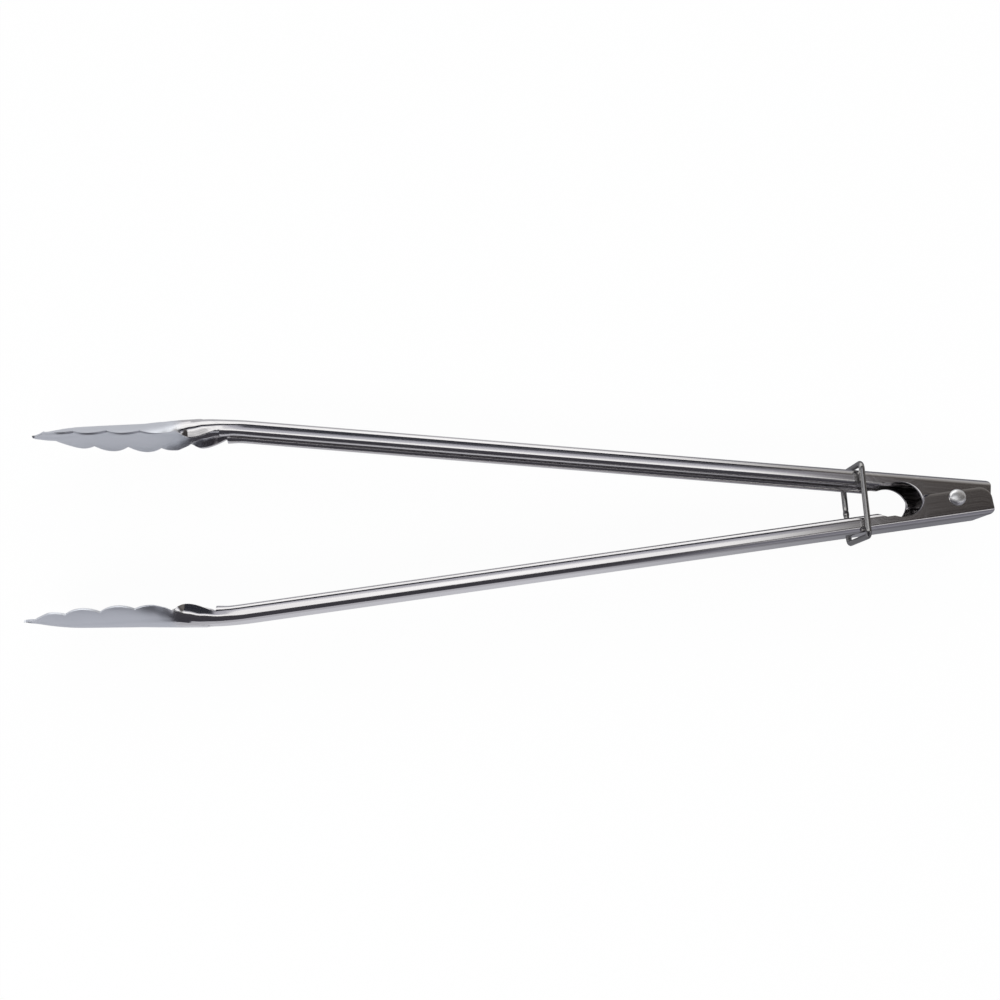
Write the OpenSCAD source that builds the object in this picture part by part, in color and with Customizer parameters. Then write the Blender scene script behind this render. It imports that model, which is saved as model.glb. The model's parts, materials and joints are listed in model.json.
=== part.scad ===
// Spring loaded kitchen tongs: two stamped channel arms, a pivot rivet, a torsion
// spring coiled round it and a wire locking ring that slides along the handles.
//
// The tongs lie on their side, open. +Z is along the pivot, +X points to the hinge
// end and +Y to the inner arm. The origin is under the middle of the open tongs.
// An arm is drawn in its own frame first: pivot at the origin, tip towards -X, back
// at y = back_dist, mid-plane at z = 0. Stations s are measured from the pivot along
// the back, and heights h from the back surface into the channel.

/* [Arms] */
// Length along the back, from the pivot to the tip of the jaw
arm_len = 390; // [330:1:470]
// Angle between the two handles when the tongs are open, degrees
open_angle = 12.9; // [10.8:0.1:16]
// Distance from the pivot to the outside of each handle's back
back_dist = 8.7; // [7.8:0.1:10.5]
// Thickness of the sheet
sheet = 1.0; // [0.8:0.1:1.2]
// Outside width of the outer arm's handle
handle_w = 21; // [18:0.5:25]
// Depth of the handle channel, from its back to the top of its rolled edges
handle_depth = 6.8; // [5.6:0.1:8.2]
// Outside radius of the bends along the handle's back
handle_bend_r = 2.5; // [1.8:0.1:3]
// Outside radius of the rolled edges
roll_r = 1.9; // [1.5:0.1:2.2]

/* [Jaws] */
// Length of the neck's bend, along the back
neck_len = 21; // [16:1:26]
// Station where the neck's bend ends, measured back from the tip
neck_from_tip = 72; // [66:1:80]
// Inward bend between handle and jaw, degrees
neck_angle = 7.5; // [5:0.5:8.5]
// Outside width of a jaw
jaw_w = 36; // [32:0.5:42]
// Outside radius of the jaw's turned-up sides
jaw_bend_r = 10.5; // [9:0.5:12]
// Length of the taper between neck and jaw
taper_len = 22; // [18:1:26]
// Length of the jaw's curved tip
tip_len = 25; // [20:1:30]
// Inward curve of the tip, degrees
tip_angle = 14; // [10:1:18]
// Radius of the tip in plan
tip_plan_r = 14; // [11:0.5:17]
// How far each scallop bulges above the line between its notches
scallop_rise = 1.6; // [0.8:0.1:2]

/* [Hinge] */
// How far the ears reach behind the pivot
tail_len = 14.2; // [12:0.2:18]
// How far the ears reach past the pivot, towards the other arm
ear_rise = 2.9; // [2.4:0.1:3.8]
// Radius of the ears' rear corner
tail_r = 5; // [3:0.5:6]
// Station of the centre of the mouth's arc
mouth_station = 22.5; // [20:0.5:27]
// Radius of the mouth's arc in each ear
mouth_r = 9; // [7.5:0.5:10]
// Side clearance between the outer and the inner ears
ear_clear = 0.15; // [0.1:0.05:0.3]
// Diameter of the rivet's shank
rivet_d = 4; // [3:0.1:4.8]
// Diameter of the rivet's domed heads
rivet_head_d = 6.8; // [6:0.1:8]
// Height of the rivet's domed heads
rivet_head_h = 1.6; // [1.2:0.1:2.2]
// Radial running clearance of the rivet in the ears
rivet_clear = 0.05; // [0.02:0.01:0.1]

/* [Spring] */
// Diameter of the spring wire
spring_wire = 1.5; // [1:0.1:1.7]
// Radius of the coil at the middle of the wire
coil_r = 4.6; // [3.8:0.1:4.8]
// Full turns in the coil
coil_turns = 7; // [3:1:8]
// Distance from one turn to the next
coil_pitch = 1.75; // [1.71:0.01:1.85]
// Length of each leg
leg_len = 22; // [14:1:26]

/* [Locking ring] */
// Diameter of the ring's wire
ring_wire = 2.4; // [2:0.1:3]
// Clearance between the ring and each side of the outer handle
ring_side_clear = 1.3; // [0.6:0.1:3]
// Distance from the pivot to the ring when the tongs are open
ring_station = 39; // [37:0.5:60]
// Clearance between the ring and each handle's back
ring_clear = 0.8; // [0.3:0.1:1.5]
// Lean of the ring, degrees
ring_lean = 1.5; // [0:0.5:3]
// Radius of the ring's corners, at the middle of the wire
ring_corner_r = 2.8; // [2.6:0.1:5]

/* [Hidden] */
$fn = 48;
steel = "silver";
half_angle = open_angle / 2;
ring_w = handle_w + 2 * (ring_wire + ring_side_clear);
inner_arm_w = handle_w - 2 * sheet - 2 * ear_clear;
neck_r = neck_len / (neck_angle * PI / 180);
tip_r = tip_len / (tip_angle * PI / 180);
neck_end_s = arm_len - neck_from_tip;
handle_end_s = neck_end_s - neck_len;
tip_start_s = arm_len - tip_len;
straight_len = tip_start_s - neck_end_s;
// Solids that cut or fill reach this far past what they cut
reach = 12;
// The taper laps into its neighbours by this length, this much inside their surfaces
lap = 0.2;
step = 0.1;
// Chords in each bend of a channel's section
bend_chords = 8;
// The rolled edges stop this far from the neck's notch and from the mouth
roll_gap = 1.5;
roll_end_s = arm_len - 82.5;
mouth_y = ear_rise + 1.2;
mouth_edge_s = mouth_station + sqrt(pow(mouth_r, 2) - pow(back_dist - handle_depth + mouth_y, 2));
// Scallop notches: distance from the tip, height above the back
tip_notch = [7.1, 0.9];
scallops = [tip_notch, [21.6, 4.3], [36.1, 5.1], [50.4, 6.1], [64.5, 6]];
neck_lobe = [69.6, 9];
neck_notch = [80.5, 5.7];

// Point on the back's outside at station s, with the back's slope there
function back_point(s) =
    s <= handle_end_s ? [-s, back_dist, 0]
    : s <= neck_end_s ? arc_point([-handle_end_s, back_dist, 0], neck_r, s - handle_end_s)
    : let (n = arc_point([-handle_end_s, back_dist, 0], neck_r, neck_len))
      s <= tip_start_s ? along(n, s - neck_end_s)
      : arc_point(along(n, straight_len), tip_r, s - tip_start_s);
function along(p, d) = [p.x - d * cos(p.z), p.y - d * sin(p.z), p.z];
function arc_point(p, r, d) =
    let (a = d / r * 180 / PI)
    [p.x + r * (sin(p.z) - sin(p.z + a)), p.y - r * (cos(p.z) - cos(p.z + a)), p.z + a];
// Point at height h above the back, a distance d from the tip
function edge_point(d, h) =
    let (p = back_point(arm_len - d))
    [p.x + h * sin(p.z), p.y - h * cos(p.z)];
// Points of one scallop, from notch a to notch b
function scallop(a, b) = [
    for (i = [0 : 7]) let (t = i / 8)
    edge_point(a.x + (b.x - a.x) * t, a.y + (b.y - a.y) * t + 4 * scallop_rise * t * (1 - t))
];
tip_point = back_point(arm_len);
pivot_x = (reach_x() - tail_x()) / 2;
jaw_edge_h = scallops[3].y + scallop_rise;
jaw_half = jaw_w / 2 - jaw_bend_r + sqrt(pow(jaw_bend_r, 2) - pow(jaw_bend_r - jaw_edge_h, 2));
pivot_z = max(jaw_half, ring_w / 2);
function reach_x() = -tip_point.x * cos(half_angle) - tip_point.y * sin(half_angle);
function tail_x() = tail_len * cos(half_angle) + (back_dist - handle_bend_r) * sin(half_angle);

// Section of the space a channel wraps round, inset from its outside. Its bends are
// chords, so that the taper between two sections meets both of them exactly.
module channel_2d(w, r, inset) {
    corner = [
        for (i = [0 : bend_chords]) let (a = 90 * i / bend_chords)
        [w / 2 - r + (r - inset) * cos(a), back_dist - r + (r - inset) * sin(a)]
    ];
    polygon([
        [w / 2 - inset, -reach],
        each corner,
        for (i = [bend_chords : -1 : 0]) [-corner[i].x, corner[i].y],
        [inset - w / 2, -reach]
    ]);
}

// Section of the two rolled edges
module rolls_2d(w) {
    for (side = [-1, 1])
        translate([side * (w / 2 - roll_r), back_dist - handle_depth + roll_r])
            difference() {
                circle(roll_r);
                circle(roll_r - sheet);
                translate([side > 0 ? 0 : -roll_r, 0]) square(roll_r);
            }
}

// A section run along X, from x0 to x1
module run(x0, x1) {
    translate([x0, 0, 0]) rotate([0, 90, 0]) linear_extrude(x1 - x0) children();
}

// A section swept round a bend of radius r at the back, from the origin towards -X
module bend(r, angle) {
    translate([0, back_dist - r, 0]) rotate([0, 0, 90]) rotate_extrude(angle = angle, $fn = 180)
        translate([r - back_dist, 0]) rotate(-90) children();
}

// What follows the bend of radius r, moved to its end
module after_bend(r, angle) {
    translate([0, back_dist - r, 0]) rotate([0, 0, angle]) translate([0, r - back_dist, 0]) children();
}

// The whole length of an arm's outside, or of its inside when inset by the sheet
module arm_form(w, inset) {
    run(-handle_end_s, tail_len + inset) channel_2d(w, handle_bend_r, inset);
    translate([-handle_end_s, 0, 0]) {
        bend(neck_r, neck_angle) channel_2d(w, handle_bend_r, inset);
        after_bend(neck_r, neck_angle) {
            hull() {
                run(0, lap) channel_2d(w, handle_bend_r, inset + step);
                run(-taper_len - lap, -taper_len) channel_2d(jaw_w, jaw_bend_r, inset + step);
            }
            run(-straight_len, -taper_len) channel_2d(jaw_w, jaw_bend_r, inset);
            translate([-straight_len, 0, 0])
                bend(tip_r, tip_angle + (inset > 0 ? 1 : 0)) channel_2d(jaw_w, jaw_bend_r, inset);
        }
    }
}

// Side view of an ear, with its half of the mouth cut out
module ear_2d() {
    front = -mouth_station;
    difference() {
        union() {
            translate([front, -ear_rise])
                square([tail_len - tail_r - front, back_dist + ear_rise]);
            translate([front, tail_r - ear_rise])
                square([tail_len - front, back_dist + ear_rise - tail_r]);
            translate([tail_len - tail_r, tail_r - ear_rise]) circle(tail_r);
        }
        translate([front, -mouth_y]) circle(mouth_r);
    }
}

// Side view of the wall from the mouth to the tip, with the scalloped edge
module wall_2d() {
    wall_y = back_dist - handle_depth + roll_r;
    past = back_dist + reach;
    difference() {
        polygon([
            [-mouth_station, past],
            [-mouth_station, wall_y],
            [-(roll_end_s - neck_len), wall_y],
            edge_point(arm_len - roll_end_s, handle_depth - roll_r),
            edge_point(neck_notch.x, neck_notch.y),
            edge_point((neck_notch.x + neck_lobe.x) / 2, (neck_notch.y + neck_lobe.y) / 2 + 1),
            edge_point(neck_lobe.x, neck_lobe.y),
            for (i = [len(scallops) - 1 : -1 : 1]) each scallop(scallops[i], scallops[i - 1]),
            edge_point(tip_notch.x, tip_notch.y),
            edge_point(tip_notch.x / 2, tip_notch.y / 2 + 0.4),
            edge_point(0, 0),
            [tip_point.x, past]
        ]);
        translate([-mouth_station, -mouth_y]) circle(mouth_r);
    }
}

// Round plan outline of the tip, as a solid that the jaw is kept inside
module tip_plan() {
    translate([tip_point.x + tip_plan_r, -2 * reach, 0])
        rotate([-90, 0, 0]) cylinder(r = tip_plan_r, h = 4 * reach, $fn = 96);
    translate([tip_point.x + tip_plan_r, -2 * reach, -jaw_w])
        cube([arm_len + tail_len, 4 * reach, 2 * jaw_w]);
}

// One stamped arm in its own frame, for a handle of outside width w
module arm(w) {
    difference() {
        union() {
            intersection() {
                difference() {
                    arm_form(w, 0);
                    arm_form(w, sheet);
                }
                translate([0, 0, -jaw_w]) linear_extrude(2 * jaw_w) {
                    ear_2d();
                    wall_2d();
                }
                tip_plan();
            }
            run(-handle_end_s, -mouth_edge_s - roll_gap) rolls_2d(w);
            translate([-handle_end_s, 0, 0])
                bend(neck_r, (roll_end_s - handle_end_s) / neck_r * 180 / PI) rolls_2d(w);
        }
        translate([0, 0, -w]) cylinder(r = rivet_d / 2 + rivet_clear, h = 2 * w);
    }
}

// Moves a piece from the pivot's frame to its place
module at_pivot() {
    translate([pivot_x, 0, pivot_z]) children();
}

module outer_arm() {
    color(steel) at_pivot() rotate([180, 0, 0]) rotate([0, 0, -half_angle]) arm(handle_w);
}

module inner_arm() {
    color(steel) at_pivot() rotate([0, 0, -half_angle]) arm(inner_arm_w);
}

// Shank through all four ears, with a domed head on each side
module pivot_rivet() {
    grip = handle_w / 2;
    dome_r = (pow(rivet_head_d / 2, 2) + pow(rivet_head_h, 2)) / (2 * rivet_head_h);
    color("gainsboro") at_pivot() {
        translate([0, 0, -grip]) cylinder(d = rivet_d, h = 2 * grip);
        for (side = [0, 1]) mirror([0, 0, side]) translate([0, 0, grip])
            intersection() {
                translate([0, 0, rivet_head_h - dome_r]) sphere(dome_r);
                cylinder(d = rivet_head_d, h = rivet_head_h);
            }
    }
}

// Middle of the spring wire: a leg on the outer arm, the coil, a leg on the inner arm
leg_end_y = back_dist - sheet - spring_wire / 2 - 0.1;
leg_tilt = half_angle + asin((leg_end_y - coil_r) / leg_len);
coil_sweep = 360 * coil_turns + 180 - 2 * leg_tilt;
coil_steps = 20 * coil_turns;
coil_len = coil_pitch * coil_sweep / 360;
function coil_point(i) =
    let (a = leg_tilt - 90 + coil_sweep * i / coil_steps)
    [coil_r * cos(a), coil_r * sin(a), coil_len * (i / coil_steps - 0.5)];
function leg_point(start, side) =
    [start.x - leg_len * cos(leg_tilt), start.y + side * leg_len * sin(leg_tilt), start.z];
spring_path = [
    leg_point(coil_point(0), -1),
    for (i = [0 : coil_steps]) coil_point(i),
    leg_point(coil_point(coil_steps), 1)
];
function unit(v) = v / norm(v);
// Ring of points round path point i, square to the path there
function wire_ring(path, i, r, sides) =
    let (last = len(path) - 1)
    let (t = unit(path[min(i + 1, last)] - path[max(i - 1, 0)]))
    let (u = unit(cross(t, [0, 0, 1])), v = cross(u, t))
    [for (k = [0 : sides - 1]) let (a = 360 * k / sides) path[i] + r * (cos(a) * u + sin(a) * v)];

// A round wire along a path
module wire(path, r, sides) {
    last = len(path) - 1;
    points = [for (i = [0 : last]) each wire_ring(path, i, r, sides)];
    skin = [
        for (i = [0 : last - 1], k = [0 : sides - 1]) let (n = (k + 1) % sides)
        [i * sides + k, (i + 1) * sides + k, (i + 1) * sides + n, i * sides + n]
    ];
    caps = [[for (k = [0 : sides - 1]) k], [for (k = [sides - 1 : -1 : 0]) last * sides + k]];
    polyhedron(points, concat(skin, caps));
}

module torsion_spring() {
    color("darkgray") at_pivot() wire(spring_path, spring_wire / 2, 8);
}

// Rectangular wire ring round both handles
module locking_ring() {
    backs_apart = 2 * (back_dist / cos(half_angle) + ring_station * tan(half_angle));
    half_h = backs_apart / 2 + ring_clear + ring_wire / 2;
    half_w = (ring_w - ring_wire) / 2;
    color("gainsboro") at_pivot() translate([-ring_station, 0, 0]) rotate([0, 0, ring_lean]) {
        for (side = [-1, 1]) {
            translate([0, ring_corner_r - half_h, side * half_w])
                rotate([-90, 0, 0]) cylinder(d = ring_wire, h = 2 * (half_h - ring_corner_r));
            translate([0, side * half_h, ring_corner_r - half_w])
                cylinder(d = ring_wire, h = 2 * (half_w - ring_corner_r));
        }
        for (my = [0, 1], mz = [0, 1]) mirror([0, my, 0]) mirror([0, 0, mz])
            translate([0, half_h - ring_corner_r, half_w - ring_corner_r])
                rotate([0, -90, 0]) rotate_extrude(angle = 90)
                    translate([ring_corner_r, 0]) circle(d = ring_wire);
    }
}

outer_arm();
inner_arm();
pivot_rivet();
torsion_spring();
locking_ring();
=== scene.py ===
# %% [markdown]
# # Spring loaded kitchen tongs
# The real tongs are five pieces: two long arms stamped from stainless sheet, a domed
# rivet through their ears, a torsion spring coiled round the rivet, and a bent wire
# ring that slides along the handles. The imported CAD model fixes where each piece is.
# This lesson rebuilds each one with the detail that a polished metal surface needs,
# because a mirror finish shows every facet and every missing radius.

import json
import math

import bpy
import numpy as np
from mathutils import Matrix, Vector


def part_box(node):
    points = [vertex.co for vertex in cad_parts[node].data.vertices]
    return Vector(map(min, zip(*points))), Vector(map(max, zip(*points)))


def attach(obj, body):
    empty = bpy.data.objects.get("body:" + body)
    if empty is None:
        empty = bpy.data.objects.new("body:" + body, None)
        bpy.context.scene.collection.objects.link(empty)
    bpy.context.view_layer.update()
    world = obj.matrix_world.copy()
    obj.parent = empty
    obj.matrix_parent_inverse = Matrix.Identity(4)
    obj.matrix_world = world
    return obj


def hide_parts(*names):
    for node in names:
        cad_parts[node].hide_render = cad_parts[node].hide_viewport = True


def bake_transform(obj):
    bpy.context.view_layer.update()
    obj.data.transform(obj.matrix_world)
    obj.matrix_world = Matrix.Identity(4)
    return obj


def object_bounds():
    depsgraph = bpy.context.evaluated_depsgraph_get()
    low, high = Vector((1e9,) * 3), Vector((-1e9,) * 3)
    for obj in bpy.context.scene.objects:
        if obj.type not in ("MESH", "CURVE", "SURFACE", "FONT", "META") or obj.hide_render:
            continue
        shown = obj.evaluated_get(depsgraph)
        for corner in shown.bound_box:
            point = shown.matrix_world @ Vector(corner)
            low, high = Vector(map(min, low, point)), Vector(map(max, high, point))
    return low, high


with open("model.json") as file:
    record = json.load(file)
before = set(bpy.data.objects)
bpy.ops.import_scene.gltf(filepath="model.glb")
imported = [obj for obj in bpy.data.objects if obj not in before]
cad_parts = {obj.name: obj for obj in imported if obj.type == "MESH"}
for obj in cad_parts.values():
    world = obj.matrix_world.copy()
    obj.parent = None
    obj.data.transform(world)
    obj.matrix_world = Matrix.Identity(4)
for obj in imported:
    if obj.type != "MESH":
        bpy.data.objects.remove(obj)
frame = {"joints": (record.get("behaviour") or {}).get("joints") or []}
cad_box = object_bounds()
hinge = next(j for j in frame["joints"] if j["name"] == "arm_hinge")
PIVOT = Vector(hinge["pos_m"])
MM = 0.001

# %% [markdown]
# The construction sizes come first, in millimetres. They are the same ones that the
# CAD model was built from, so each finished piece lands on its CAD solid.
# Stations s run along an arm's back from the pivot, d runs back from the tip, and
# heights h go from the back's outside into the channel.

# %% Sizes
ARM_LEN = 390.0
HALF_OPEN = math.radians(12.9 / 2)
BACK = 8.7
SHEET = 1.0
OUTER_W = 21.0
INNER_W = OUTER_W - 2 * SHEET - 0.3
DEPTH = 6.8
BEND_R = 2.5
ROLL_R = 1.9
WALL_TOP = DEPTH - ROLL_R
NECK_END = ARM_LEN - 72.0
HANDLE_END = NECK_END - 21.0
NECK_ANGLE = math.radians(7.5)
TIP_START = ARM_LEN - 25.0
TIP_ANGLE = math.radians(14.0)
JAW_W = 36.0
JAW_R = 10.5
TIP_PLAN_R = 20.0
TAIL = 14.2
EAR_TOP = BACK + 2.9
TAIL_R = 5.0
MOUTH_S = 22.5
MOUTH_R = 9.0
MOUTH_H = BACK + 4.1
NOTCHES = [(7.1, 0.9), (21.6, 4.3), (36.1, 5.1), (50.4, 6.1), (64.5, 6.0)]
SCALLOP_RISE = 1.6
NECK_LOBE = (70.0, 9.0)
NECK_NOTCH = (80.5, 5.7)
ROLL_END = ARM_LEN - 82.0
ROLL_START = 30.2
ring_low, ring_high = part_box("locking_ring")
print("ring height", round((ring_high.y - ring_low.y) / MM, 1), "mm")


# %% [markdown]
# An arm's back is a straight handle, a gentle bend at the neck, a straight jaw and a
# curled-in tip. One function follows that line and gives, for any station, the point
# on the back and the slope there. Everything else on the arm hangs from it, which is
# how the press tool works too: one profile, swept along one line.

# %% The line of the back
def arc_step(point, slope, radius, length):
    turned = slope + length / radius
    x = point[0] + radius * (math.sin(slope) - math.sin(turned))
    y = point[1] - radius * (math.cos(slope) - math.cos(turned))
    return (x, y), turned


def straight_step(point, slope, length):
    return (point[0] - length * math.cos(slope), point[1] - length * math.sin(slope)), slope


def back_line(s):
    if s <= HANDLE_END:
        return (-s, BACK), 0.0
    neck_radius = (NECK_END - HANDLE_END) / NECK_ANGLE
    point, slope = arc_step((-HANDLE_END, BACK), 0.0, neck_radius, min(s, NECK_END) - HANDLE_END)
    if s <= NECK_END:
        return point, slope
    point, slope = straight_step(point, slope, min(s, TIP_START) - NECK_END)
    if s <= TIP_START:
        return point, slope
    return arc_step(point, slope, (ARM_LEN - TIP_START) / TIP_ANGLE, s - TIP_START)


print("tip of the back line", [round(v, 1) for v in back_line(ARM_LEN)[0]])


# %% [markdown]
# The top edge of the wall is what a buyer sees first: four scallops and a smooth tip
# on the jaw, a taller lobe at the neck, a notch where the rolled edge begins, the
# rolled handle, the round mouth near the hinge and the flat ears with a round tail.
# It is written as a height above the back for each station.

# %% The wall's top edge
EDGE_WEAR = 0.5
TIP_LIFT = 0.8


def jaw_edge(d):
    if d <= NOTCHES[0][0]:
        t = d / NOTCHES[0][0]
        return 0.05 + (NOTCHES[0][1] - 0.05) * t + 1.2 * t * (1 - t)
    for (d0, h0), (d1, h1) in zip(NOTCHES, NOTCHES[1:]):
        if d <= d1:
            t = (d - d0) / (d1 - d0)
            return h0 + (h1 - h0) * t + 4 * SCALLOP_RISE * t * (1 - t)
    if d <= NECK_LOBE[0]:
        t = (d - NOTCHES[-1][0]) / (NECK_LOBE[0] - NOTCHES[-1][0])
        return NOTCHES[-1][1] + (NECK_LOBE[1] - NOTCHES[-1][1]) * math.sin(t * math.pi / 2)
    t = min(1.0, (d - NECK_LOBE[0]) / (NECK_NOTCH[0] - NECK_LOBE[0]))
    return NECK_LOBE[1] - (NECK_LOBE[1] - NECK_NOTCH[1]) * (1 - math.cos(t * math.pi / 2))


def wall_edge(s):
    d = ARM_LEN - s
    if d <= NECK_NOTCH[0]:
        return jaw_edge(d) - EDGE_WEAR * min(1.0, d / 2)
    if s >= ROLL_END:
        return NECK_NOTCH[1] + (WALL_TOP - NECK_NOTCH[1]) * (d - NECK_NOTCH[0]) / (
            ARM_LEN - ROLL_END - NECK_NOTCH[0]
        )
    across = abs(MOUTH_S - s)
    arc = MOUTH_H - math.sqrt(MOUTH_R**2 - across**2) if across < MOUTH_R else 99.0
    if s >= MOUTH_S:
        return min(WALL_TOP, arc)
    tail_in = max(0.0, TAIL_R - TAIL - s)
    tail = EAR_TOP - TAIL_R + math.sqrt(max(0.0, TAIL_R**2 - tail_in**2))
    return min(arc, tail)


print("edge heights at the tip, a scallop and the ear",
      [round(wall_edge(s), 2) for s in (389, 361, 0)])


# %% [markdown]
# Across the arm the sheet is a channel: a flat back, a bend and a wall. In the jaw
# the bend opens out to a wide scoop; at the neck the walls close in and lean towards
# each other. Four numbers describe any section, and they are read from a short table
# with smooth steps between its rows.

# %% Shape of the section
SECTION_ROWS = {
    # distance from the tip: half width, bend radius, inward lean in degrees
    0.0: (24.0, 24.0, 0.0),
    48.0: (24.0, 24.0, 0.0),
    57.0: (17.0, 14.0, 1.0),
    62.0: (13.6, 8.8, 6.0),
    66.0: (11.9, 6.0, 9.0),
    70.0: (11.0, 4.8, 10.0),
    76.0: (10.6, 3.8, 10.0),
    84.0: (None, 3.0, 3.0),
    95.0: (None, BEND_R, 0.0),
}


def smooth(t):
    t = min(1.0, max(0.0, t))
    return t * t * (3 - 2 * t)


def section_shape(d, width):
    keys = sorted(SECTION_ROWS)
    rows = [tuple(width / 2 if v is None else v for v in SECTION_ROWS[k]) for k in keys]
    if d >= keys[-1]:
        return rows[-1]
    i = max(k for k in range(len(keys) - 1) if keys[k] <= d)
    t = smooth((d - keys[i]) / (keys[i + 1] - keys[i]))
    return tuple(a + (b - a) * t for a, b in zip(rows[i], rows[i + 1]))


print("half width 20, 60 and 120 mm from the tip",
      [round(section_shape(d, OUTER_W)[0], 1) for d in (20, 60, 120)])

# %% [markdown]
# Half a section is a list of points from the middle of the back to the top of the
# wall. Two pressed details are added on the jaw: a shallow raised panel along its
# back, which ends in a round at the neck, and a soft flute behind each scallop.

# %% Half a section
FLAT_STEPS = 9
BEND_STEPS = 14
WALL_STEPS = 7
PANEL_RISE = 0.3
PANEL_START, PANEL_ROUND, PANEL_END = 9.0, 66.0, 77.0
PANEL_NARROW, PANEL_WIDE = 5.0, 10.0
FLUTE = 0.45
WALL_CROWN = 0.04
TAIL_TUCK = 2.0


def panel_half(d):
    grown = PANEL_NARROW + (PANEL_WIDE - PANEL_NARROW) * smooth((d - 15) / (PANEL_ROUND - 15))
    if d <= PANEL_ROUND:
        return grown * smooth((d - 2.0) / PANEL_START) ** 0.5
    t = min(1.0, (d - PANEL_ROUND) / (PANEL_END - PANEL_ROUND))
    return PANEL_WIDE * math.sqrt(max(0.0, 1 - t * t))


def flute_at(d):
    for (d0, _), (d1, _) in zip(NOTCHES, NOTCHES[1:]):
        if d0 < d < d1:
            return math.sin(math.pi * (d - d0) / (d1 - d0)) ** 0.8
    return 0.0


def half_section(s, width):
    d = ARM_LEN - s
    half, radius, lean = section_shape(d, width)
    height = wall_edge(s)
    full = math.pi / 2 + math.radians(lean)
    reached = math.acos(max(-1.0, 1 - 0.86 * height / radius))
    turn = min(full, reached)
    points = [((half - radius) * i / FLAT_STEPS, 0.0) for i in range(FLAT_STEPS)]
    for i in range(BEND_STEPS + 1):
        a = turn * i / BEND_STEPS
        points.append((half - radius + radius * math.sin(a), radius * (1 - math.cos(a))))
    z0, h0 = points[-1]
    run = (height - h0) / math.sin(turn)
    for i in range(1, WALL_STEPS + 1):
        step = run * i / WALL_STEPS
        points.append((z0 + step * math.cos(turn), h0 + step * math.sin(turn)))
    edge = points[-1][0]
    rounded = JAW_W / 2 * min(1.0, d / TIP_PLAN_R) ** 0.92
    narrow = 1 + (rounded / edge - 1) * smooth((TIP_PLAN_R - d) / 12)
    crown = WALL_CROWN * smooth((s - 42) / 30) * smooth((d - NECK_NOTCH[0]) / 20)
    shaped = []
    for z, h in points:
        raised = PANEL_RISE * smooth((panel_half(d) - z * narrow) / 0.9 + 0.5) if d < PANEL_END else 0.0
        out = FLUTE * flute_at(d) * smooth((h - 1.5) / 4.5)
        if h0 < h < height:
            out += crown * math.sin(math.pi * (h - h0) / (height - h0))
        lift = TIP_LIFT * max(0.0, 1 - d / 8) ** 2
        shaped.append((z * narrow + out, h - raised - lift))
    return shaped


print("points in half a section", len(half_section(200, OUTER_W)))

# %% [markdown]
# The handle's edges are rolled inward into a tube, so that no sharp sheet touches the
# hand. Near the mouth the roll opens out and fades into the wall, and at the neck it
# stops short with a small flare.

# %% The rolled edge
ROLL_STEPS = 16
ROLL_TURN = math.radians(262)
ROLL_FADE = 11.0
ROLL_FLARE = 0.25


def roll_points(s, edge_z):
    opened = smooth((s - ROLL_START + 0.6) / ROLL_FADE)
    flare = 1 + ROLL_FLARE * smooth((s - ROLL_END + 6) / 6)
    radius = ROLL_R * flare
    turn = ROLL_TURN * opened
    return [
        (edge_z - radius + radius * math.cos(turn * i / ROLL_STEPS),
         WALL_TOP + radius * math.sin(turn * i / ROLL_STEPS))
        for i in range(1, ROLL_STEPS + 1)
    ]


print("roll turns through", round(math.degrees(ROLL_TURN)), "degrees")


# %% [markdown]
# The stations are packed where the edge turns quickly: round the tail, up the mouth's
# arc, through the neck and along each scallop, with one exactly on every notch so
# that the notches stay sharp. The long straight handle needs only a few.

# %% Stations along an arm
def spread(a, b, count):
    return [a + (b - a) * i / count for i in range(count)]


def stations():
    tail = [TAIL_R - TAIL - TAIL_R * math.sin(math.pi / 2 * (1 - i / 10)) for i in range(10)]
    mouth_start = math.acos((MOUTH_H - EAR_TOP) / MOUTH_R)
    arc = [MOUTH_S - MOUTH_R * math.sin(mouth_start * (1 - i / 22)) for i in range(22)]
    handle = spread(MOUTH_S, ROLL_START, 12) + spread(ROLL_START, 40, 16) + spread(40, HANDLE_END, 18)
    neck = spread(HANDLE_END, ROLL_END, 16) + spread(ROLL_END, ARM_LEN - NECK_NOTCH[0], 3)
    jaw = spread(ARM_LEN - NECK_NOTCH[0], ARM_LEN - NOTCHES[-1][0], 26)
    for (d1, _), (d0, _) in zip(NOTCHES[:0:-1], NOTCHES[-2::-1]):
        jaw += spread(ARM_LEN - d1, ARM_LEN - d0, 16)
    tip = [ARM_LEN - NOTCHES[0][0] * (1 - i / 14) ** 1.6 for i in range(14)] + [ARM_LEN - 0.02]
    return tail + spread(TAIL_R - TAIL, arc[0], 8) + arc + handle + neck + jaw + tip


print("stations", len(stations()))


# %% [markdown]
# Now the sheet itself. A grid of points is enough: rows are stations and columns run
# from one edge over the back to the other. The rolls add columns only where the
# handle has them. Solidify then gives the grid its 1 mm of steel, inward, and a tiny
# bevel catches light along the cut edges, as a deburred edge does.

# %% From grid to sheet metal
def arm_points(s, width):
    half = half_section(s, width)
    rolled = ROLL_START <= s <= ROLL_END
    roll = roll_points(s, half[-1][0]) if rolled else []
    right = half + roll
    left = [(-z, h) for z, h in reversed(right[1:])]
    (x, y), slope = back_line(s)
    tail_near = smooth((-s - TAIL + 7) / 6)
    pad = [None] * (0 if rolled else ROLL_STEPS)
    row = []
    for p in pad + left + right + pad:
        if p is None:
            row.append(None)
            continue
        z, h = p
        inside = max(0.0, TAIL_TUCK - max(0.0, h))
        tuck = tail_near * (TAIL_TUCK - math.sqrt(TAIL_TUCK**2 - inside**2))
        row.append((x - tuck + h * math.sin(slope), y - h * math.cos(slope), z))
    return row


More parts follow.
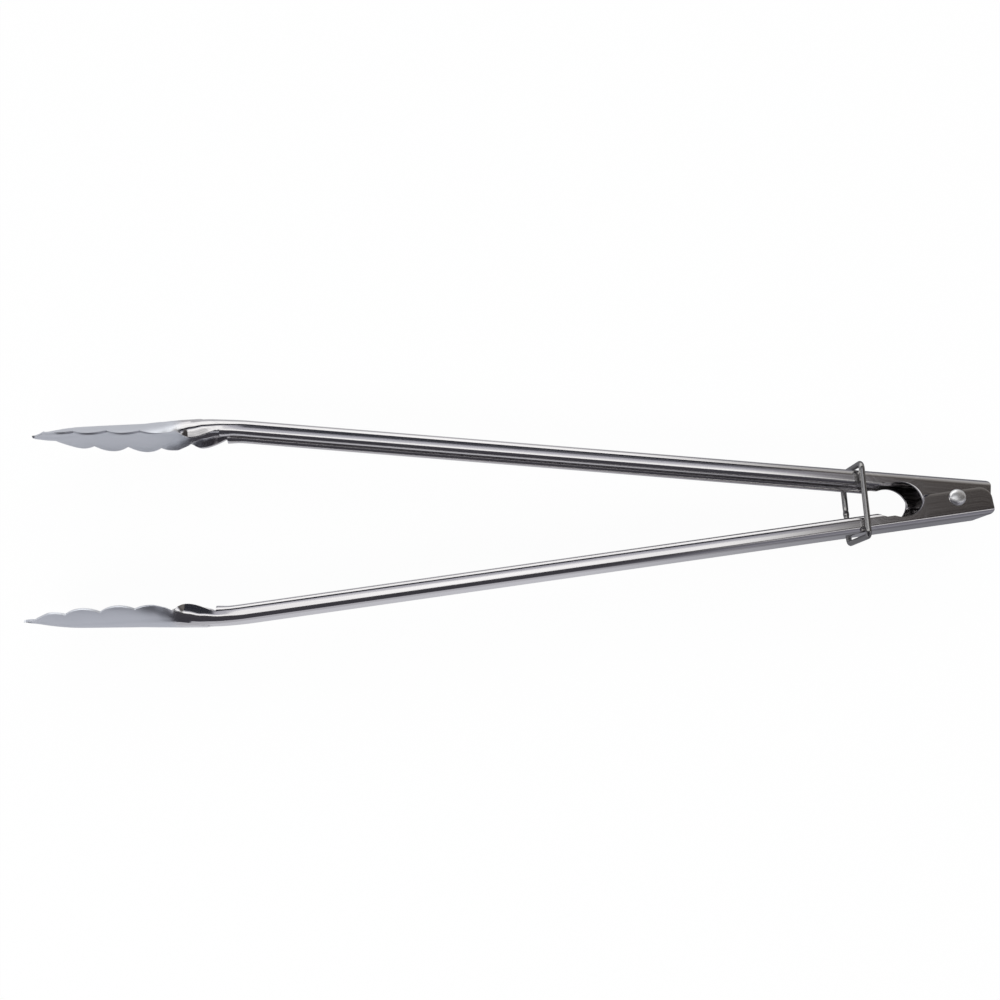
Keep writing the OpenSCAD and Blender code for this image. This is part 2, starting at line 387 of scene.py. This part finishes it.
def sheet_mesh(name, width, turned):
    rows = [arm_points(s, width) for s in stations()]
    index, points, across = [], [], []
    for row in rows:
        ids, length, last = [], 0.0, None
        for p in row:
            if p is not None:
                length += math.dist(p, last) if last else 0.0
                last = p
                points.append(p)
                across.append(length)
            ids.append(None if p is None else len(points) - 1)
        index.append(ids)
    faces = []
    for a, b in zip(index, index[1:]):
        for i in range(len(a) - 1):
            corners = [a[i], a[i + 1], b[i + 1], b[i]]
            if None not in corners:
                faces.append(corners)
    turn = Matrix.Rotation(-HALF_OPEN, 4, "Z")
    if turned:
        turn = Matrix.Rotation(math.pi, 4, "X") @ turn
    place = Matrix.Translation(PIVOT) @ turn
    mesh = bpy.data.meshes.new(name)
    mesh.from_pydata([place @ (Vector(p) * MM) for p in points], [], faces)
    uv = mesh.uv_layers.new(name="along_across")
    for loop in mesh.loops:
        v = loop.vertex_index
        uv.data[loop.index].uv = (-points[v][0] * MM, across[v] * MM)
    return mesh


def linked(name, mesh):
    piece = bpy.data.objects.new(name, mesh)
    bpy.context.collection.objects.link(piece)
    return piece


def settle(piece, sharp_degrees):
    """Applies a piece's modifiers and smooths all but its sharp edges."""
    graph = bpy.context.evaluated_depsgraph_get()
    graph.update()
    made = bpy.data.meshes.new_from_object(piece.evaluated_get(graph))
    piece.modifiers.clear()
    piece.data = made
    made.name = piece.name
    for polygon in made.polygons:
        polygon.use_smooth = True
    made.set_sharp_from_angle(angle=math.radians(sharp_degrees))
    return piece


def lathe(name, profile, sides):
    """A solid of revolution about the pin axis through the pivot, from (radius, height)."""
    points, faces = [], []
    ring_of = []
    for radius, height in profile:
        if radius == 0.0:
            ring_of.append([len(points)])
            points.append((0.0, 0.0, height))
            continue
        ring_of.append(list(range(len(points), len(points) + sides)))
        for k in range(sides):
            a = 2 * math.pi * k / sides
            points.append((radius * math.cos(a), radius * math.sin(a), height))
    for a, b in zip(ring_of, ring_of[1:]):
        for k in range(sides):
            n = (k + 1) % sides
            corners = [a[k % len(a)], a[n % len(a)], b[n % len(b)], b[k % len(b)]]
            faces.append(list(dict.fromkeys(corners)))
    mesh = bpy.data.meshes.new(name)
    mesh.from_pydata([PIVOT + Vector(p) * MM for p in points], [], faces)
    return mesh


def stamped_arm(name, width, turned):
    piece = linked(name, sheet_mesh(name, width, turned))
    solid = piece.modifiers.new("sheet thickness", "SOLIDIFY")
    solid.thickness = SHEET * MM
    solid.offset = 1
    bevel = piece.modifiers.new("deburred edges", "BEVEL")
    bevel.width = 0.09 * MM
    bevel.segments = 2
    bevel.limit_method = "ANGLE"
    bevel.angle_limit = math.radians(50)
    settle(piece, 40)
    print(name, "triangles", sum(len(p.vertices) - 2 for p in piece.data.polygons))
    return piece


outer_arm = stamped_arm("outer_arm_sheet", OUTER_W, True)
inner_arm = stamped_arm("inner_arm_sheet", INNER_W, False)

# %% [markdown]
# The rivet joins the four ears. Its heads are formed by a domed punch, so they are
# shallow domes with a slightly flattened crown and a small radius at the rim. The
# profile is turned about the pin axis.

# %% Pivot rivet
SHANK_R = 2.0
HEAD_R = 3.4
HEAD_H = 1.6
GRIP = OUTER_W / 2


def head_profile():
    dome = []
    for i in range(14):
        t = i / 13
        a = t * math.pi / 2
        dome.append((HEAD_R * math.sin(a) ** 0.92, GRIP + 0.15 + (HEAD_H - 0.15) * math.cos(a) ** 0.8))
    dome[0] = (0.0, GRIP + HEAD_H)
    return dome + [(HEAD_R, GRIP + 0.06), (HEAD_R - 0.08, GRIP), (SHANK_R, GRIP)]


top = head_profile()
bottom = [(r, -h) for r, h in top]
rivet = linked("rivet_pin", lathe("rivet_pin", bottom + top[::-1], 64))
settle(rivet, 50)
print("rivet", len(rivet.data.polygons), "faces")

# %% [markdown]
# The spring and the ring are both bent from round wire, so one Geometry Nodes tree
# makes either: it takes a path, sweeps a circle of the wire's diameter along it and
# gives it a material. A path point's radius scales the wire there, which is how the
# ring gets the upset bead of its butt weld.

# %% The wire tree
def wire_tree():
    tree = bpy.data.node_groups.new("wire along a path", "GeometryNodeTree")
    face = tree.interface
    face.new_socket("Path", in_out="INPUT", socket_type="NodeSocketGeometry")
    face.new_socket("Wire diameter", in_out="INPUT", socket_type="NodeSocketFloat")
    face.new_socket("Sides", in_out="INPUT", socket_type="NodeSocketInt")
    face.new_socket("Material", in_out="INPUT", socket_type="NodeSocketMaterial")
    face.new_socket("Wire", in_out="OUTPUT", socket_type="NodeSocketGeometry")

    def node(kind, links=(), **settings):
        made = tree.nodes.new(kind)
        for key, value in settings.items():
            setattr(made, key, value)
        for socket, source in links:
            tree.links.new(source, made.inputs[socket])
        return made

    given = node("NodeGroupInput")
    half = node("ShaderNodeMath", [(0, given.outputs["Wire diameter"])], operation="MULTIPLY")
    half.inputs[1].default_value = 0.5
    circle = node("GeometryNodeCurvePrimitiveCircle",
                  [("Resolution", given.outputs["Sides"]), ("Radius", half.outputs[0])])
    weight = node("GeometryNodeInputRadius")
    swept = node("GeometryNodeCurveToMesh",
                 [("Curve", given.outputs["Path"]), ("Profile Curve", circle.outputs["Curve"])])
    swept.inputs["Fill Caps"].default_value = True
    if "Scale" in swept.inputs:
        tree.links.new(weight.outputs[0], swept.inputs["Scale"])
    smoothed = node("GeometryNodeSetShadeSmooth", [("Geometry", swept.outputs["Mesh"])])
    real = node("GeometryNodeRealizeInstances", [("Geometry", smoothed.outputs["Geometry"])])
    finish = node("GeometryNodeSetMaterial",
                  [("Geometry", real.outputs["Geometry"]), ("Material", given.outputs["Material"])])
    node("NodeGroupOutput", [("Wire", finish.outputs["Geometry"])])
    return tree


WIRE_TREE = wire_tree()


def bent_wire(name, path, diameter, sides, material, closed=False, swell=None):
    curve = bpy.data.curves.new(name, "CURVE")
    curve.dimensions = "3D"
    spline = curve.splines.new("POLY")
    spline.points.add(len(path) - 1)
    for i, p in enumerate(path):
        spline.points[i].co = (*p, 1.0)
        spline.points[i].radius = swell(p) if swell else 1.0
    spline.use_cyclic_u = closed
    piece = linked(name, curve)
    modifier = piece.modifiers.new("wire", "NODES")
    modifier.node_group = WIRE_TREE
    values = {"Wire diameter": diameter, "Sides": sides, "Material": material}
    for item in WIRE_TREE.interface.items_tree:
        if item.in_out == "INPUT" and item.name in values:
            modifier[item.identifier] = values[item.name]
    graph = bpy.context.evaluated_depsgraph_get()
    mesh = bpy.data.meshes.new_from_object(piece.evaluated_get(graph))
    bpy.data.objects.remove(piece)
    made = linked(name, mesh)
    for polygon in mesh.polygons:
        polygon.use_smooth = True
    print(name, len(mesh.polygons), "faces")
    return made


# %% [markdown]
# ## Steel
# Everything here is stainless steel, but each piece was finished another way. The
# arms are polished sheet with faint lines along the drawing direction, and their
# jaws are left satin, which reads as an even grey. The ring is polished wire, the
# rivet head is tumbled and a little mottled, and the spring is bare drawn wire.
# A metal keeps the default IOR, and its colour is its reflection. The ring's darker colour is painted shade,
# and the rivet's near-white colour is a painted sheen.

# %% Colour and node helpers
def linear(hex_colour):
    channels = [int(hex_colour[i:i + 2], 16) / 255 for i in (1, 3, 5)]
    return [c / 12.92 if c <= 0.04045 else ((c + 0.055) / 1.055) ** 2.4 for c in channels] + [1.0]


def add_node(material, kind, links=None, **settings):
    """Adds one node, sets its properties and sockets, and links its inputs."""
    tree = material.node_tree
    made = tree.nodes.new(kind)
    for key, value in settings.items():
        if hasattr(made, key):
            setattr(made, key, value)
        else:
            made.inputs[key.replace("_", " ").capitalize()].default_value = value
    for socket, source in (links or {}).items():
        tree.links.new(source, made.inputs[socket])
    return made


def new_steel(name, colour, roughness):
    material = bpy.data.materials.new(name)
    material.use_nodes = True
    shader = material.node_tree.nodes["Principled BSDF"]
    shader.inputs["Base Color"].default_value = linear(colour)
    shader.inputs["Metallic"].default_value = 1.0
    shader.inputs["Roughness"].default_value = roughness
    return material, shader


def stretched(material, source, per_mm_along, per_mm_across):
    """A coordinate that is counted in pattern cells: few along, many across."""
    scale = (per_mm_along / MM, per_mm_across / MM, per_mm_across / MM)
    return add_node(material, "ShaderNodeMapping", {"Vector": source}, Scale=scale)


# %% [markdown]
# The arms' material is polished 18/0 stainless sheet. Drawing lines run along the arm,
# a few hundredths of a millimetre deep, and change both roughness and tone. The jaw is
# blasted satin up to the last scallop, with a soft border as on the real stamping.

# %% Polished sheet with satin jaws
def arm_steel():
    material, shader = new_steel("polished stainless sheet", "#cfccc9", 0.16)
    link = material.node_tree.links.new
    place = add_node(material, "ShaderNodeTexCoord")
    xyz = add_node(material, "ShaderNodeSeparateXYZ", {"Vector": place.outputs["Object"]})
    # The satin starts at the last scallop, 61 to 68 mm from the tip
    tip_x = cad_box[0][0]
    satin = add_node(material, "ShaderNodeMapRange", {"Value": xyz.outputs["X"]},
                     interpolation_type="SMOOTHSTEP")
    satin.inputs["From Min"].default_value = tip_x + 68 * MM
    satin.inputs["From Max"].default_value = tip_x + 61 * MM
    lines = stretched(material, place.outputs["UV"], 0.012, 1.4)
    grain = add_node(material, "ShaderNodeTexNoise", {"Vector": lines.outputs["Vector"]},
                     Scale=1.0, Detail=3.0)
    cloud = add_node(material, "ShaderNodeTexNoise", {"Vector": place.outputs["Object"]},
                     Scale=60.0, Detail=2.0)
    polish = add_node(material, "ShaderNodeMapRange", {"Value": grain.outputs["Fac"]})
    polish.inputs["To Min"].default_value = 0.07
    polish.inputs["To Max"].default_value = 0.17
    matt = add_node(material, "ShaderNodeMapRange", {"Value": cloud.outputs["Fac"]})
    matt.inputs["To Min"].default_value = 0.40
    matt.inputs["To Max"].default_value = 0.50
    rough = add_node(material, "ShaderNodeMix", {"Factor": satin.outputs["Result"],
                                                 2: polish.outputs["Result"], 3: matt.outputs["Result"]})
    link(rough.outputs[0], shader.inputs["Roughness"])
    tint = add_node(material, "ShaderNodeMix", {"Factor": satin.outputs["Result"]}, data_type="RGBA")
    streak = add_node(material, "ShaderNodeMix", {"Factor": grain.outputs["Fac"]}, data_type="RGBA")
    streak.inputs[6].default_value = linear("#bab8b9")
    streak.inputs[7].default_value = linear("#eceaea")
    link(streak.outputs[2], tint.inputs[6])
    tint.inputs[7].default_value = linear("#e2e5ea")
    link(tint.outputs[2], shader.inputs["Base Color"])
    bump = add_node(material, "ShaderNodeBump", {"Height": grain.outputs["Fac"]})
    bump.inputs["Strength"].default_value = 0.3
    bump.inputs["Distance"].default_value = 0.02 * MM
    link(bump.outputs["Normal"], shader.inputs["Normal"])
    return material


# %% [markdown]
# The wires and the rivet are stainless too. The ring is bright drawn wire, the spring
# is duller hard wire and the rivet is tumbled, so one recipe makes all three, with
# marks of about a millimetre that move the roughness and dent the surface a little.
# The ring's colour is darkened as painted shade, and the rivet's is near white as a painted sheen.

# %% Wire and rivet steels
def wire_steel(name, colour, roughness, mark_mm):
    material, shader = new_steel(name, colour, roughness)
    link = material.node_tree.links.new
    place = add_node(material, "ShaderNodeTexCoord")
    marks = add_node(material, "ShaderNodeTexNoise", {"Vector": place.outputs["Object"]},
                     Scale=1 / (mark_mm * MM), Detail=4.0)
    spread_rough = add_node(material, "ShaderNodeMapRange", {"Value": marks.outputs["Fac"]})
    spread_rough.inputs["To Min"].default_value = roughness * 0.7
    spread_rough.inputs["To Max"].default_value = roughness * 1.5
    link(spread_rough.outputs["Result"], shader.inputs["Roughness"])
    bump = add_node(material, "ShaderNodeBump", {"Height": marks.outputs["Fac"]})
    bump.inputs["Strength"].default_value = 0.25
    bump.inputs["Distance"].default_value = 0.03 * MM
    link(bump.outputs["Normal"], shader.inputs["Normal"])
    return material


ARM_STEEL = arm_steel()
# the ring's darker base colour is painted shade
RING_STEEL = wire_steel("polished stainless wire, painted shade", "#9e9d9b", 0.14, 1.2)
SPRING_STEEL = wire_steel("drawn spring wire", "#a7a5a2", 0.3, 0.5)
# the rivet's near-white base colour is a painted sheen
RIVET_STEEL = wire_steel("tumbled rivet steel, painted sheen", "#f2f2f2", 0.3, 0.9)
print("materials", [m.name for m in (ARM_STEEL, RING_STEEL, SPRING_STEEL, RIVET_STEEL)])

# %% [markdown]
# ## Spring
# The coil winds round the rivet between the inner ears, and a leg at each end lies
# along an arm's back and pushes it outward. The turns come from one angle that grows
# steadily, and the legs leave the coil along its tangent.

# %% Torsion spring
SPRING_WIRE = 1.5
COIL_R = 4.6
COIL_TURNS = 7
COIL_PITCH = 1.75
LEG = 22.0
LEG_END = BACK - SHEET - SPRING_WIRE / 2 - 0.1
leg_tilt = HALF_OPEN + math.asin((LEG_END - COIL_R) / LEG)
sweep = 2 * math.pi * COIL_TURNS + math.pi - 2 * leg_tilt
coil_steps = 40 * COIL_TURNS
coil_length = COIL_PITCH * sweep / (2 * math.pi)


def coil_point(i):
    a = leg_tilt - math.pi / 2 + sweep * i / coil_steps
    rise = coil_length * (i / coil_steps - 0.5)
    return PIVOT + Vector((COIL_R * math.cos(a), COIL_R * math.sin(a), rise)) * MM


def leg_run(start, side):
    reach = Vector((-math.cos(leg_tilt), side * math.sin(leg_tilt), 0)) * LEG * MM
    return [start + reach * i / 12 for i in range(12, 0, -1)]


spring_path = leg_run(coil_point(0), -1) + [coil_point(i) for i in range(coil_steps + 1)]
spring_path += leg_run(coil_point(coil_steps), 1)[::-1]
spring = bent_wire("coil_spring", spring_path, SPRING_WIRE * MM, 14, SPRING_STEEL)

# %% [markdown]
# ## Locking ring
# One length of wire is bent into a rectangle round both handles, and its ends are
# butt welded in the middle of a side. The ring leans a little, as it does when it
# hangs loose on the open handles.

# %% Ring of bent wire
RING_WIRE = 2.4
RING_STATION = 39.0
RING_LEAN = math.radians(1.5)
CORNER_R = 2.2
half_w = (ring_high.z - ring_low.z) / MM / 2 - RING_WIRE / 2
half_h = (BACK / math.cos(HALF_OPEN) + RING_STATION * math.tan(HALF_OPEN)) + 0.8 + RING_WIRE / 2


def ring_path():
    corners = [(1, 1, 0), (-1, 1, 90), (-1, -1, 180), (1, -1, 270)]
    points = []
    for sy, sz, start in corners:
        for i in range(13):
            a = math.radians(start + 90 * i / 12)
            y = sy * (half_h - CORNER_R) + CORNER_R * math.cos(a)
            z = sz * (half_w - CORNER_R) + CORNER_R * math.sin(a)
            points.append(Vector((0, y, z)))
    full = []
    for a, b in zip(points, points[1:] + points[:1]):
        pieces = max(1, round((b - a).length / 0.6))
        full += [a.lerp(b, i / pieces) for i in range(pieces)]
    lean = Matrix.Rotation(RING_LEAN, 4, "Z")
    centre = PIVOT + Vector((-RING_STATION * MM, 0, 0))
    return [centre + lean @ (p * MM) for p in full]


def weld_bead(p):
    """Wire radius near the butt weld: a low bead with a nick at each side."""
    if p.z > PIVOT.z:
        return 1.0
    off = abs(p.y - PIVOT.y + 2.2 * MM) / MM
    return 1.0 + 0.09 * math.exp(-((off / 0.7) ** 2)) - 0.10 * math.exp(-(((off - 1.5) / 0.45) ** 2))


ring = bent_wire("wire_ring", ring_path(), RING_WIRE * MM, 24, RING_STEEL, closed=True, swell=weld_bead)

# %% [markdown]
# The CAD solids are hidden. Each arm, the rivet and the ring are carried by a body, and the
# arms and the rivet get their steel here; the ring and the spring have theirs from the wire tree.
# The spring crosses the hinge and goes on no body: its place is baked into its mesh.

# %% Join the pieces to the frame
for piece in (outer_arm, inner_arm):
    piece.data.materials.append(ARM_STEEL)
rivet.data.materials.append(RIVET_STEEL)
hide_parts("outer_arm")
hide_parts("inner_arm")
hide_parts("pivot_rivet")
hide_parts("torsion_spring")
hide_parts("locking_ring")
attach(outer_arm, "outer_arm_body")
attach(inner_arm, "inner_arm_body")
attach(rivet, "outer_arm_body")
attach(ring, "ring_body")
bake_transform(spring)
print("pieces joined", 5)

# %% [markdown]
# ## Studio
# Polished steel is mostly a picture of what it reflects, and here that picture is painted.
# Reflections see a world of painted reflection tones, a short table by the angle from
# overhead: bright overhead between darker sides, with more bands. For reflected rays towards
# the hinge end a second, darker table of painted reflection tones takes over, with a painted
# highlight. Reflections see the floor in painted greys, darker towards the hinge end; the
# camera sees plain white paper, and soft lamps give the light and its faint shadow.

# %% Floor, painted reflections and lamps
# painted reflection greys: reflections see the floor in these, darker towards the hinge end, while the
# camera sees it white
PAINTED_FLOOR_REFLECTION_NEAR = "#cacad0"
PAINTED_FLOOR_REFLECTION_FAR = "#c6c6ca"
PAINTED_FLOOR_REFLECTION_HINGE = "#7c7c82"


def floor_with_painted_reflections():
    material = bpy.data.materials.new("white studio paper with painted reflections")
    material.use_nodes = True
    tree = material.node_tree
    shader = tree.nodes["Principled BSDF"]
    shader.inputs["Base Color"].default_value = linear("#f0f0f0")
    shader.inputs["Roughness"].default_value = 0.9
    glow = add_node(material, "ShaderNodeEmission", Strength=1.0)
    glow.inputs["Color"].default_value = (1, 1, 1, 1)
    place = add_node(material, "ShaderNodeTexCoord")
    xyz = add_node(material, "ShaderNodeSeparateXYZ", {"Vector": place.outputs["Object"]})
    # painted reflection greys, seen by glossy rays only: a little darker far off, much darker towards the
    # hinge end
    far = add_node(material, "ShaderNodeMapRange", {"Value": xyz.outputs["Y"]})
    far.inputs["From Min"].default_value = -0.03
    far.inputs["From Max"].default_value = 0.07
    tone = add_node(material, "ShaderNodeMix", {"Factor": far.outputs["Result"]}, data_type="RGBA")
    tone.inputs[6].default_value = linear(PAINTED_FLOOR_REFLECTION_NEAR)
    tone.inputs[7].default_value = linear(PAINTED_FLOOR_REFLECTION_FAR)
    end = add_node(material, "ShaderNodeMapRange", {"Value": xyz.outputs["X"]})
    end.inputs["From Min"].default_value = 0.03
    end.inputs["From Max"].default_value = 0.17
    shade = add_node(material, "ShaderNodeMix", {"Factor": end.outputs["Result"]}, data_type="RGBA")
    tree.links.new(tone.outputs[2], shade.inputs[6])
    shade.inputs[7].default_value = linear(PAINTED_FLOOR_REFLECTION_HINGE)
    painted_reflection_grey = add_node(material, "ShaderNodeEmission", {"Color": shade.outputs[2]}, Strength=1.0)
    path = add_node(material, "ShaderNodeLightPath")
    seen = add_node(material, "ShaderNodeMixShader", {0: path.outputs["Is Glossy Ray"], 1: shader.outputs[0],
                                                      2: painted_reflection_grey.outputs[0]})
    share = add_node(material, "ShaderNodeMath", {0: path.outputs["Is Camera Ray"]}, operation="MULTIPLY")
    share.inputs[1].default_value = 0.96
    mix = add_node(material, "ShaderNodeMixShader", {0: share.outputs[0], 1: seen.outputs[0],
                                                     2: glow.outputs[0]})
    tree.links.new(mix.outputs[0], tree.nodes["Material Output"].inputs["Surface"])
    return material


FLOOR_HALF = 3.0
floor_mesh = bpy.data.meshes.new("floor")
corners = [(-FLOOR_HALF, -FLOOR_HALF, 0), (FLOOR_HALF, -FLOOR_HALF, 0),
           (FLOOR_HALF, FLOOR_HALF, 0), (-FLOOR_HALF, FLOOR_HALF, 0)]
floor_mesh.from_pydata(corners, [], [(0, 1, 2, 3)])
floor_mesh.materials.append(floor_with_painted_reflections())
floor = linked("floor", floor_mesh)

PAINTED_REFLECTION_TONES = [
    # degrees from overhead towards the camera's lower side, and the painted reflection tone seen there
    (-180, "#9a9aa2"), (-90, "#e4e4e8"), (-75, "#ffffff"), (-38, "#ffffff"), (-34, "#26272d"),
    (-15.6, "#2a2c33"), (-14.4, "#a9a9b2"), (-8.2, "#b4b4bc"), (-7.2, "#ffffff"),
    (5, "#ffffff"), (8, "#3c3b40"), (85, "#38373d"), (93, "#a0a0aa"), (180, "#9a9aa2"),
]
# brightness of the painted reflection tones
PAINTED_REFLECTION_STRENGTH = 1.35
# painted reflection tones for reflected rays towards the hinge end: dark for the ears, with a painted
# highlight at 22 degrees
PAINTED_HINGE_REFLECTIONS = [
    (-180, "#77777f"), (-90, "#9a9a9e"), (-60, "#a8a6a4"), (-40, "#8c8a88"), (-25, "#6c6966"),
    (-16, "#504c49"), (-9.7, "#4a4643"), (-8.9, "#393534"), (8, "#322f2e"), (14, "#45413f"),
    (22, "#f4f4f6"), (30, "#6a6870"), (60, "#7a7a82"), (90, "#8a8a92"), (180, "#77777f"),
]


def painted_reflection_world():
    world = bpy.data.worlds.new("world of painted reflections")
    world.use_nodes = True
    tree = world.node_tree

    def node(kind, links=(), **settings):
        made = tree.nodes.new(kind)
        for key, value in settings.items():
            setattr(made, key, value)
        for socket, source in links:
            tree.links.new(source, made.inputs[socket])
        return made

    where = node("ShaderNodeTexCoord")
    axes = node("ShaderNodeSeparateXYZ", [("Vector", where.outputs["Generated"])])
    toward = node("ShaderNodeMath", [(0, axes.outputs["Y"])], operation="MULTIPLY")
    toward.inputs[1].default_value = -1.0
    angle = node("ShaderNodeMath", [(0, toward.outputs[0]), (1, axes.outputs["Z"])], operation="ARCTAN2")
    place = node("ShaderNodeMapRange", [("Value", angle.outputs[0])])
    place.inputs["From Min"].default_value = -math.pi
    place.inputs["From Max"].default_value = math.pi
    along = node("ShaderNodeMapRange", [("Value", axes.outputs["X"])], interpolation_type="SMOOTHSTEP")
    along.inputs["From Min"].default_value = 0.20
    along.inputs["From Max"].default_value = 0.36
    tones = []
    # two tables of painted reflection tones; the second takes over for reflected rays towards the hinge end
    for table in (PAINTED_REFLECTION_TONES, PAINTED_HINGE_REFLECTIONS):
        ramp = node("ShaderNodeValToRGB", [("Fac", place.outputs["Result"])])
        stops = ramp.color_ramp.elements
        stops[-1].color = linear(table[-1][1])
        stops[0].color = linear(table[0][1])
        for degrees, tone in table[1:-1]:
            stops.new((degrees + 180) / 360).color = linear(tone)
        tones.append(ramp.outputs["Color"])
    both = node("ShaderNodeMix", [("Factor", along.outputs["Result"])], data_type="RGBA")
    tree.links.new(tones[0], both.inputs[6])
    tree.links.new(tones[1], both.inputs[7])
    reflected = node("ShaderNodeBackground", [("Color", both.outputs[2])])
    reflected.inputs["Strength"].default_value = PAINTED_REFLECTION_STRENGTH
    plain = node("ShaderNodeBackground")
    plain.inputs["Color"].default_value = linear("#f4f5f7")
    plain.inputs["Strength"].default_value = 0.75
    backdrop = node("ShaderNodeBackground")
    backdrop.inputs["Color"].default_value = (1, 1, 1, 1)
    path = node("ShaderNodeLightPath")
    unseen = node("ShaderNodeMixShader", [(0, path.outputs["Is Glossy Ray"]), (1, plain.outputs[0]),
                                          (2, reflected.outputs[0])])
    mix = node("ShaderNodeMixShader", [(0, path.outputs["Is Camera Ray"]), (1, unseen.outputs[0]),
                                       (2, backdrop.outputs[0])])
    tree.links.new(mix.outputs[0], tree.nodes["World Output"].inputs["Surface"])
    return world


bpy.context.scene.world = painted_reflection_world()


def soft_lamp(name, place, aim, size, power):
    data = bpy.data.lights.new(name, "AREA")
    data.shape = "RECTANGLE"
    data.size, data.size_y = size
    data.energy = power
    lamp = bpy.data.objects.new(name, data)
    bpy.context.collection.objects.link(lamp)
    lamp.location = place
    lamp.visible_glossy = False
    lamp.rotation_euler = (Vector(aim) - Vector(place)).to_track_quat("-Z", "Y").to_euler()
    return lamp


soft_lamp("key", (-0.5, -0.9, 1.1), (0, 0, 0), (1.2, 0.5), 9)
soft_lamp("fill", (0.3, 1.2, 0.7), (0, 0, 0), (1.6, 0.5), 6)
print("floor, room and lamps placed")

# %% [markdown]
# The camera looks down the pivot's axis, tipped towards the outer arm, at the whole
# tongs. Its place is worked out from the pivot, a distance and two angles.

# %% Camera
CAMERA_DISTANCE = 0.464
CAMERA_TIP = math.radians(9.84)
CAMERA_ROLL = math.radians(1.67)
FIELD = 2 * math.atan(500 / 1099)
AIM = PIVOT + Vector((-0.1887, 0.0062, 0))
sideways = Vector((-math.sin(CAMERA_ROLL), -math.cos(CAMERA_ROLL), 0))
away = Vector((0, 0, math.cos(CAMERA_TIP))) + sideways * math.sin(CAMERA_TIP)
up = Vector((0, 0, math.sin(CAMERA_TIP))) - sideways * math.cos(CAMERA_TIP)
right = up.cross(away)
camera_data = bpy.data.cameras.new("camera")
camera_data.angle = FIELD
camera_data.clip_start = 0.01
camera = bpy.data.objects.new("camera", camera_data)
bpy.context.collection.objects.link(camera)
axes = Matrix((right, up, away)).transposed().to_4x4()
camera.matrix_world = Matrix.Translation(AIM + away * CAMERA_DISTANCE) @ axes
scene = bpy.context.scene
scene.camera = camera
scene.view_settings.view_transform = "Standard"
print("camera at", tuple(round(v, 3) for v in camera.matrix_world.translation))
